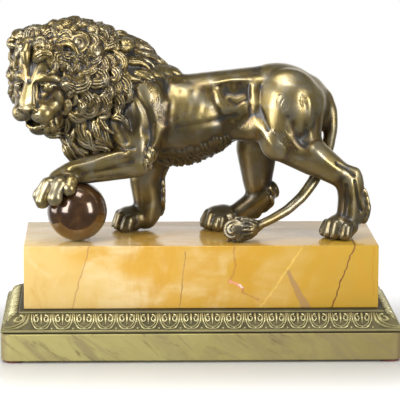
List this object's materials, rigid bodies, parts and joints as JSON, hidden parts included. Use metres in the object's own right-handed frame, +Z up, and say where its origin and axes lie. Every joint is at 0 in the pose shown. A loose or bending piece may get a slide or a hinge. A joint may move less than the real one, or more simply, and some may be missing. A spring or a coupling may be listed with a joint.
{
  "type": "lion statue on plinth",
  "caption": "Bronze lion standing with one forepaw on a ball, on a yellow marble plinth above a brass base with a leaf moulding; an ornament for a desk or mantel.",
  "frame": {"origin": "middle of the base, on the surface that it stands on", "axes": "+X along the base from the lion's head to its tail, the head at -X; +Y to the lion's right, so its face turns towards -Y; +Z up"},
  "size_m": [0.403, 0.186, 0.341],
  "materials": {
    "lion_bronze": "brown-gold patinated cast bronze, glossy on the high places and dark in the recesses",
    "ball_bronze": "polished dark red-brown bronze",
    "yellow_marble": "polished veined yellow marble",
    "moulding_brass": "dark toned brass, worn bright on the leaves",
    "slab_brass": "satin olive-gold brass with tarnish",
    "pad": "matt brown pad"
  },
  "bodies": {
    "root": {"lion": "lion_bronze", "ball": "ball_bronze", "marble_plinth": "yellow_marble", "leaf_moulding": "moulding_brass", "base_slab": "slab_brass", "foot_pad_1": "pad", "foot_pad_2": "pad", "foot_pad_3": "pad", "foot_pad_4": "pad"}
  },
  "joints": []
}
